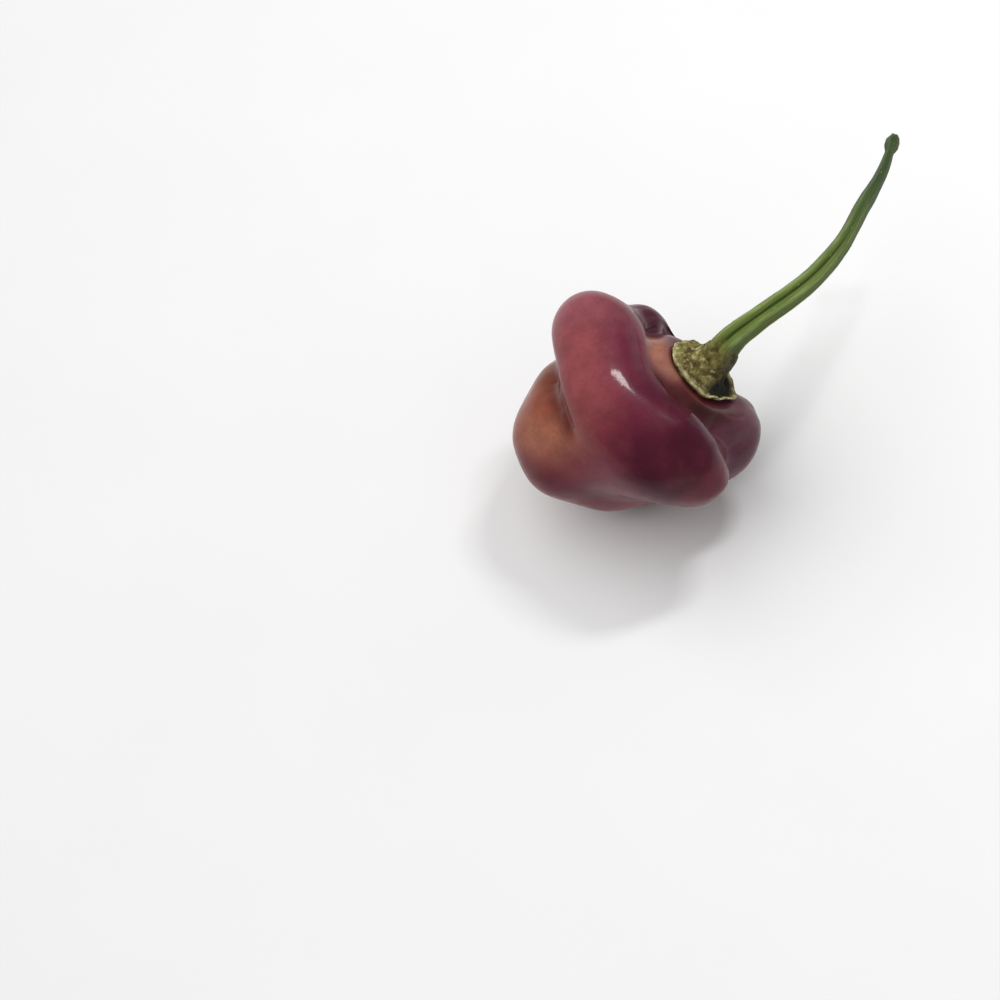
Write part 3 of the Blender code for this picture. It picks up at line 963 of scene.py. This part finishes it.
def scatter_tree(name, mask, low, high, alignments):
    """A tree that scatters small lumps where a mask value lies between low and high."""
    tree, inputs = new_shape_tree(name, {
        "Density": "Float",
        "Size": "Float",
        "Stretch": "Vector",
        "Seed": "Int",
        "Material": "Material",
    })
    marks = named_value(tree, mask[0], "FLOAT_VECTOR")
    value = add_node(tree, "ShaderNodeSeparateXYZ", {0: marks}).outputs[mask[1]]
    above = maths(tree, "GREATER_THAN", value, low)
    density = times(tree, above, maths(tree, "LESS_THAN", value, high), inputs["Density"])
    spots = add_node(tree, "GeometryNodeDistributePointsOnFaces", {
        "Mesh": inputs["Geometry"], "Density": density, "Seed": inputs["Seed"],
    }, distribute_method="RANDOM")
    lump = add_node(tree, "GeometryNodeMeshUVSphere", {"Segments": 8, "Rings": 5, "Radius": 1.0})
    turn = spots.outputs["Rotation"]
    for axis, vector in alignments:
        turn = add_node(tree, "FunctionNodeAlignRotationToVector", {
            "Rotation": turn, "Vector": named_value(tree, vector, "FLOAT_VECTOR"),
        }, axis=axis, pivot_axis="Z").outputs[0]
    part = add_node(tree, "FunctionNodeRandomValue", {
        "Min": 0.35, "Max": 1.0, "Seed": inputs["Seed"],
    }, data_type="FLOAT")
    share = next(output for output in part.outputs if output.enabled)
    lumps = add_node(tree, "GeometryNodeInstanceOnPoints", {
        "Points": spots.outputs["Points"],
        "Instance": lump.outputs["Mesh"],
        "Rotation": turn,
        "Scale": scaled(tree, inputs["Stretch"], times(tree, share, inputs["Size"])),
    })
    end_shape_tree(tree, lumps.outputs[0], inputs["Material"])
    return tree


def mesh_area(mesh):
    return sum(face.area for face in mesh.polygons)


class PEPPER_OT_calyx_warts(bpy.types.Operator):
    """Scatter small corky warts over the calyx"""

    bl_idname = "pepper.calyx_warts"
    bl_label = "Calyx Warts"

    def execute(self, context):
        settings = context.scene.pepper_calyx
        base = bpy.data.objects["calyx_cap"].data.copy()
        material = straw_material("calyx warts", settings.cork, settings.bark)
        tree = scatter_tree("Calyx warts", ("calyx_marks", 2), 0.5, 2.0, ())
        mesh = grown_mesh("calyx_warts", base, tree, {
            "Density": settings.wart_count / (0.5 * mesh_area(base)),
            "Size": settings.wart_size,
            "Stretch": (1.0, 0.32, 0.3),
            "Seed": 4,
            "Material": material,
        })
        add_piece("calyx_warts", mesh, material, "calyx_skin")
        return {"FINISHED"}


class PEPPER_OT_calyx_rim(bpy.types.Operator):
    """Run a thin dry bead round the rim of the calyx"""

    bl_idname = "pepper.calyx_rim"
    bl_label = "Calyx Rim"

    def execute(self, context):
        settings = context.scene.pepper_calyx
        count = 260
        turns = full_turn(count)
        line = at_bearings(calyx_rim(turns) - RIM_BEAD_INSET, turns, rim_height(turns))
        half = RIM_BEAD * (1.0 + 0.5 * uneven(line, scale=0.8 * MM, seed=8))
        ring = [(k, (k + 1) % count) for k in range(count)]
        base = new_mesh("calyx rim line", pod_to_row(line), ring, [])
        give_values(base, "half", half)
        tree, inputs = new_shape_tree("Calyx rim bead", {
            "Thickness": "Float",
            "Sides": "Int",
            "Material": "Material",
        })
        curve = add_node(tree, "GeometryNodeMeshToCurve", {"Mesh": inputs["Geometry"]}).outputs[0]
        place = add_node(tree, "GeometryNodeInputPosition").outputs[0]
        curve = store_value(tree, curve, "centre", place, "FLOAT_VECTOR")
        tube = add_node(tree, "GeometryNodeCurveToMesh", {
            "Curve": curve, "Profile Curve": circle(tree, inputs["Sides"], RIM_BEAD),
        }).outputs[0]
        middle = named_value(tree, "centre", "FLOAT_VECTOR")
        way = vector_maths(tree, "NORMALIZE", vector_maths(tree, "SUBTRACT", place, middle))
        reach = times(tree, named_value(tree, "half"), inputs["Thickness"])
        moved = vector_maths(tree, "ADD", middle, scaled(tree, way, reach))
        bead = add_node(tree, "GeometryNodeSetPosition", {"Geometry": tube, "Position": moved})
        end_shape_tree(tree, bead.outputs[0], inputs["Material"])
        material = straw_material("dry calyx rim", settings.straw, settings.olive)
        mesh = grown_mesh("calyx_rim", base, tree, {"Thickness": 1.0, "Sides": 8, "Material": material})
        add_piece("calyx_rim", mesh, material, "calyx_skin")
        return {"FINISHED"}


# Stem

def stem_path():
    """Centres, shares of length, half thicknesses and frames of the stem's rings, in the row's frame.

    One more ring, a little wider than the first, lies deeper in the calyx.
    """
    line = smooth_curve(STEM_CURVE, STEM_RINGS)
    shares = np.linspace(0.0, 1.0, STEM_RINGS)
    half = np.interp(shares, STEM_GIRTH[:, 0], STEM_GIRTH[:, 1])
    ahead = np.gradient(line, axis=0)
    ahead /= np.linalg.norm(ahead, axis=1)[:, None]
    side = np.cross((0.0, 0.0, 1.0), ahead[0])
    sides = []
    for way in ahead:
        side = side - way * np.dot(side, way)
        side = side / np.linalg.norm(side)
        sides.append(side)
    sides = np.array(sides)
    tops = np.cross(ahead, sides)
    root = line[0] - ahead[0] * STEM_ROOT
    line = np.vstack([root, line]) + np.array(SEAT_PLACE)
    shares = np.concatenate([[0.0], shares])
    half = np.concatenate([[half[0] * STEM_ROOT_FLARE], half])
    repeat_first = [np.vstack([rows[:1], rows]) for rows in (ahead, sides, tops)]
    return line, shares, half, *repeat_first


def stem_tree():
    """The ribbed, grooved stalk: rings across the path, shaped by bearing and share of length."""
    tree, inputs = new_shape_tree("Stem stalk", {
        "Thickness": "Float",
        "Ribs": "Int",
        "Rib Depth": "Float",
        "Groove Depth": "Float",
        "Groove Bearing": "Float",
        "Unevenness": "Float",
        "Sides": "Int",
        "Material": "Material",
    })
    curve = add_node(tree, "GeometryNodeMeshToCurve", {"Mesh": inputs["Geometry"]}).outputs[0]
    index = add_node(tree, "GeometryNodeInputIndex").outputs[0]
    turn = maths(tree, "DIVIDE", times(tree, index, 2 * pi), inputs["Sides"])
    section = store_value(tree, circle(tree, inputs["Sides"], MM), "turn", turn, "FLOAT")
    tube = add_node(tree, "GeometryNodeCurveToMesh", {
        "Curve": curve, "Profile Curve": section, "Fill Caps": True,
    }).outputs[0]
    around = named_value(tree, "turn")
    share = named_value(tree, "share")
    off_groove = maths(tree, "SUBTRACT", around, inputs["Groove Bearing"])
    ribs = maths(tree, "COSINE", times(tree, off_groove, inputs["Ribs"]))
    form = maths(tree, "SUBTRACT", 1.0, times(tree, ribs, inputs["Rib Depth"]))
    fade = spread(tree, share, *GROOVE_FADE, 1.0, 0.0)
    for width, part in GROOVE_DIPS:
        gap = maths(tree, "DIVIDE", off_groove, width)
        dip = maths(tree, "EXPONENT", times(tree, gap, gap, -1.0))
        form = maths(tree, "SUBTRACT", form, times(tree, dip, fade, inputs["Groove Depth"], part))
    to_side, to_top = maths(tree, "COSINE", around), maths(tree, "SINE", around)
    run = add_node(tree, "ShaderNodeCombineXYZ", {0: to_side, 1: to_top, 2: share}).outputs[0]
    stretched = vector_maths(tree, "MULTIPLY", run, (3.0, 3.0, 26.0))
    grain = add_node(tree, "ShaderNodeTexNoise", {"Vector": stretched, "Scale": 1.0, "Detail": 4.0})
    lump = times(tree, maths(tree, "SUBTRACT", grain.outputs["Fac"], 0.5), inputs["Unevenness"])
    form = maths(tree, "ADD", form, lump)
    half = times(tree, named_value(tree, "half"), inputs["Thickness"], form)
    side, top, centre = (named_value(tree, name, "FLOAT_VECTOR") for name in ("side", "top", "centre"))
    across = vector_maths(tree, "ADD", scaled(tree, side, to_side), scaled(tree, top, to_top))
    moved = vector_maths(tree, "ADD", centre, scaled(tree, across, half))
    stalk = add_node(tree, "GeometryNodeSetPosition", {"Geometry": tube, "Position": moved}).outputs[0]
    end_shape_tree(tree, store_value(tree, stalk, "stem_run", run, "FLOAT_VECTOR"), inputs["Material"])
    return tree


def toward_bearing(tree, run, around):
    """Cosine of the angle between each point's bearing round the stem and the given one."""
    way = (cos(around), sin(around), 0.0)
    node = add_node(tree, "ShaderNodeVectorMath", {0: run, 1: way}, operation="DOT_PRODUCT")
    return node.outputs["Value"]


def stem_material(settings):
    """Green stalk, with painted shade in its groove and on its underside: stem_run gives the bearing round
    it and the share of its length.
    """
    material, tree, shader = new_material(
        "green stem", roughness=0.5, coat=0.12, coat_roughness=0.3, subsurface=0.06
    )
    run = read_values(tree, "stem_run").outputs["Vector"]
    parts = add_node(tree, "ShaderNodeSeparateXYZ", {0: run}).outputs
    place = object_place(tree)
    share = parts[2]
    stretched = vector_maths(tree, "MULTIPLY", run, (5.0, 5.0, 9.0))
    fibres = noise_share(tree, stretched, scale=1.6, detail=6.0, low=0.35, high=0.65)
    upper = spread(tree, share, 0.4, 0.8)
    skin = mix_colours(tree, upper, settings.leaf, settings.moss)
    bearing = maths(tree, "SUBTRACT", maths(tree, "ARCTAN2", parts[1], parts[0]), GROOVE_AROUND)
    crest = maths(tree, "COSINE", times(tree, bearing, float(settings.ribs)))
    crest = spread(tree, crest, -0.2, -1.0, 0.0, 0.75)
    patchy = noise_share(tree, stretched, scale=0.8, low=0.38, high=0.62, to_low=0.3)
    faded = times(tree, crest, patchy, spread(tree, share, 0.4, 0.75, 1.0, 0.3))
    skin = mix_colours(tree, faded, skin, settings.pale)
    skin = scaled(tree, skin, spread(tree, fibres, 0.0, 1.0, 0.82, 1.14))
    # Painted shade along the bottom of the long groove.
    groove_shade = spread(tree, toward_bearing(tree, run, GROOVE_AROUND), 0.984, 1.0)
    groove_shade = times(tree, groove_shade, spread(tree, share, 0.45, 0.75, 1.0, 0.0))
    skin = mix_colours(tree, groove_shade, skin, settings.groove)
    ragged = noise_share(tree, place, scale=900.0, detail=4.0, to_low=-0.02, to_high=0.02)
    base = spread(tree, maths(tree, "ADD", share, ragged), 0.02, 0.07, 1.0, 0.0)
    cork = bpy.context.scene.pepper_calyx
    patches = noise_share(tree, place, scale=1100.0, detail=6.0, low=0.42, high=0.62)
    corky = mix_colours(tree, patches, cork.olive, cork.bark)
    skin = mix_colours(tree, base, skin, corky)
    # Painted shade on the stem's underside near the calyx.
    underside = spread(tree, toward_bearing(tree, run, SHADED_UNDERSIDE_AROUND), 0.45, 1.0)
    underside = times(tree, underside, spread(tree, share, 0.02, 0.10, 0.55, 0.0))
    skin = mix_colours(tree, underside, skin, cork.shade)
    tree.links.new(skin, shader.inputs["Base Color"])
    first = add_bump(tree, shader, fibres, strength=0.35, depth=0.08 * MM)
    grain = noise_share(tree, place, scale=4200.0)
    add_bump(tree, shader, grain, strength=0.2, depth=0.04 * MM, normal=first)
    return material


class PEPPER_OT_stem(bpy.types.Operator):
    """Make the long curved stalk with its ribs and groove"""

    bl_idname = "pepper.stem"
    bl_label = "Stem"

    def execute(self, context):
        settings = context.scene.pepper_stem
        line, shares, half, ahead, sides, tops = stem_path()
        base = new_mesh("stem line", line, [(k, k + 1) for k in range(len(line) - 1)], [])
        rings = {"centre": line, "share": shares, "half": half, "side": sides, "top": tops}
        for name, values in rings.items():
            give_values(base, name, values)
        give_values(base, "stem_ahead", ahead)
        material = stem_material(settings)
        mesh = grown_mesh("stem_stalk", base, stem_tree(), {
            "Thickness": settings.thickness,
            "Ribs": settings.ribs,
            "Rib Depth": settings.rib_depth,
            "Groove Depth": settings.groove_depth,
            "Groove Bearing": GROOVE_AROUND,
            "Unevenness": STEM_UNEVENNESS,
            "Sides": STEM_SIDES,
            "Material": material,
        })
        for name in (*rings, "turn"):
            mesh.attributes.remove(mesh.attributes[name])
        add_piece("stem_stalk", mesh, material, "stem_skin", "stem")
        return {"FINISHED"}


class PEPPER_OT_stem_flecks(bpy.types.Operator):
    """Scatter small pale flecks along the stem"""

    bl_idname = "pepper.stem_flecks"
    bl_label = "Stem Flecks"

    def execute(self, context):
        settings = context.scene.pepper_stem
        base = bpy.data.objects["stem_stalk"].data.copy()
        material = straw_material("stem flecks", settings.pale, settings.leaf)
        tree = scatter_tree("Stem flecks", ("stem_run", 2), 0.08, 0.9, (("X", "stem_ahead"),))
        mesh = grown_mesh("stem_flecks", base, tree, {
            "Density": settings.fleck_count / mesh_area(base),
            "Size": settings.fleck_size,
            "Stretch": (0.5, 0.1, 0.08),
            "Seed": 11,
            "Material": material,
        })
        add_piece("stem_flecks", mesh, material, "stem_skin")
        return {"FINISHED"}


class PEPPER_OT_stem_scar(bpy.types.Operator):
    """Close the free end of the stem with its dry scar"""

    bl_idname = "pepper.stem_scar"
    bl_label = "Stem Scar"

    def execute(self, context):
        settings = context.scene.pepper_stem
        line, _, _, ahead, sides, tops = stem_path()
        end, way = line[-1], ahead[-1]
        count = 40
        corners = [end - 0.12 * MM * way]
        for reach, rise in SCAR_PROFILE:
            for turn in full_turn(count):
                spoke = reach * MM * (1 + 0.08 * sin(5 * turn + 3 * reach))
                across = cos(turn) * sides[-1] + sin(turn) * tops[-1]
                height = (rise + 0.03 * sin(7 * turn + 9 * reach)) * MM
                corners.append(end + spoke * across + height * way)
        corners.append(end + 0.06 * MM * way)
        mesh = plain_mesh("stem_scar", corners, closed_faces(len(SCAR_PROFILE), count))
        material = scar_material("dry stem end", settings.scar, paint(70, 62, 42))
        add_piece("stem_scar", mesh, material, "stem_skin")
        return {"FINISHED"}


# Stage

def add_light(name, data, way, slant=0.0):
    """Stand a light that shines back along the given way; slant leans it sideways."""
    light = add_object(name, data)
    light.rotation_mode = "QUATERNION"
    light.rotation_quaternion = way.to_track_quat("Z", "Y") @ Quaternion((0.0, 0.0, 1.0), -slant)
    return light


def add_area_light(name, place, power):
    """A soft light at a bearing and lift from the pepper, turned towards it."""
    data = bpy.data.lights.new(name, "AREA")
    data.shape = "RECTANGLE"
    data.size = place.width
    data.size_y = place.height
    data.energy = power
    way = direction(place.bearing, place.lift)
    add_light(name, data, way, place.slant).location = LIGHT_CENTRE + place.distance * way


def add_broad_light(name, strength):
    """A light from far away that fills a wide patch of the sky, soft and without a mirror image."""
    data = bpy.data.lights.new(name, "SUN")
    data.energy = strength
    data.angle = FILL_ANGLE
    add_light(name, data, direction(FILL_BEARING, FILL_LIFT)).visible_glossy = False


def add_floor(settings):
    ends = ((-1, -1), (1, -1), (1, 1), (-1, 1))
    corners = [(x * FLOOR_REACH, y * FLOOR_REACH, -FLOOR_DROP) for x, y in ends]
    mesh = new_mesh("floor", corners, [], [(0, 1, 2, 3)])
    mesh.materials.append(floor_material(settings))
    floor = add_object("floor", mesh)


def add_camera(scene):
    """The photograph's camera: it looks past the pepper, which lies off the middle of the picture."""
    toward = direction(VIEW_AZIMUTH - pi / 2, VIEW_ELEVATION)
    right = direction(VIEW_AZIMUTH, 0.0)
    up = toward.cross(right)

    def beside(place, pixel, start):
        """The place that lies at a pixel when the given place lies at the start pixel."""
        return place + PIXEL * (right * (pixel[0] - start[0]) + up * (start[1] - pixel[1]))

    aim = beside(SEAT_PLACE, AIM_PIXEL, SEAT_PIXEL)
    eye = aim + toward * VIEW_DISTANCE
    ahead = beside(aim, (PICTURE_PIXELS / 2, PICTURE_PIXELS / 2), AIM_PIXEL)
    back = (eye - ahead).normalized()
    across = up.cross(back).normalized()
    data = bpy.data.cameras.new("camera")
    data.sensor_width = 36.0
    data.lens = VIEW_EASE * data.sensor_width * VIEW_DISTANCE / (PICTURE_PIXELS * PIXEL)
    data.clip_start = 0.01
    camera = add_object("camera", data)
    turn = Matrix((across, back.cross(across), back)).transposed().to_4x4()
    camera.matrix_world = Matrix.Translation(eye) @ turn
    scene.camera = camera


def floor_material(settings):
    material, tree, shader = new_material("plain floor", roughness=0.9)
    tone = noise_share(tree, object_place(tree), scale=40.0, to_low=0.985)
    tree.links.new(scaled(tree, tuple(settings.floor), tone), shader.inputs["Base Color"])
    return material


class PEPPER_OT_stage(bpy.types.Operator):
    """Set the plain floor, the soft lights and the camera of the photograph's view"""

    bl_idname = "pepper.stage"
    bl_label = "Stage"

    def execute(self, context):
        settings = context.scene.pepper_stage
        scene = context.scene
        add_floor(settings)
        world = bpy.data.worlds.new("soft room")
        world.use_nodes = True
        sky = world.node_tree.nodes["Background"]
        sky.inputs["Color"].default_value = (1.0, 1.0, 1.0, 1.0)
        sky.inputs["Strength"].default_value = settings.sky_strength
        scene.world = world
        add_area_light("key", KEY_LIGHT, settings.key_power)
        add_area_light("rim", STEM_LIGHT, settings.rim_power)
        add_broad_light("fill", settings.fill_strength)
        scene.view_settings.view_transform = "Standard"
        add_camera(scene)
        return {"FINISHED"}


class PEPPER_PT_panel(bpy.types.Panel):
    """Sizes, colours and makers of the pepper's pieces"""

    bl_idname = "PEPPER_PT_panel"
    bl_label = "Chilli Pepper"
    bl_space_type = "VIEW_3D"
    bl_region_type = "UI"
    bl_category = "Pepper"

    def draw(self, context):
        layout = self.layout
        for group, operators in GROUPS:
            box = layout.box()
            settings = getattr(context.scene, group)
            for name in settings.bl_rna.properties.keys():
                if name not in {"rna_type", "name"}:
                    box.prop(settings, name)
            for operator in operators:
                box.operator(operator.bl_idname)


GROUPS = (
    ("pepper_pod", (PEPPER_OT_pod, PEPPER_OT_blossom_scar)),
    ("pepper_calyx", (PEPPER_OT_calyx, PEPPER_OT_calyx_rim, PEPPER_OT_calyx_warts)),
    ("pepper_stem", (PEPPER_OT_stem, PEPPER_OT_stem_flecks, PEPPER_OT_stem_scar)),
    ("pepper_stage", (PEPPER_OT_stage,)),
)
SETTINGS = {
    "pepper_pod": PodSettings,
    "pepper_calyx": CalyxSettings,
    "pepper_stem": StemSettings,
    "pepper_stage": StageSettings,
}


def register():
    for group, settings in SETTINGS.items():
        bpy.utils.register_class(settings)
        setattr(bpy.types.Scene, group, PointerProperty(type=settings))
    for _, operators in GROUPS:
        for operator in operators:
            bpy.utils.register_class(operator)
    bpy.utils.register_class(PEPPER_PT_panel)


def unregister():
    bpy.utils.unregister_class(PEPPER_PT_panel)
    for _, operators in GROUPS:
        for operator in operators:
            bpy.utils.unregister_class(operator)
    for group, settings in SETTINGS.items():
        delattr(bpy.types.Scene, group)
        bpy.utils.unregister_class(settings)


def main():
    register()
    bpy.ops.pepper.pod()
    bpy.ops.pepper.blossom_scar()
    bpy.ops.pepper.calyx()
    bpy.ops.pepper.calyx_rim()
    bpy.ops.pepper.calyx_warts()
    bpy.ops.pepper.stem()
    bpy.ops.pepper.stem_flecks()
    bpy.ops.pepper.stem_scar()
    bpy.ops.pepper.stage()


if __name__ == "__main__":
    main()
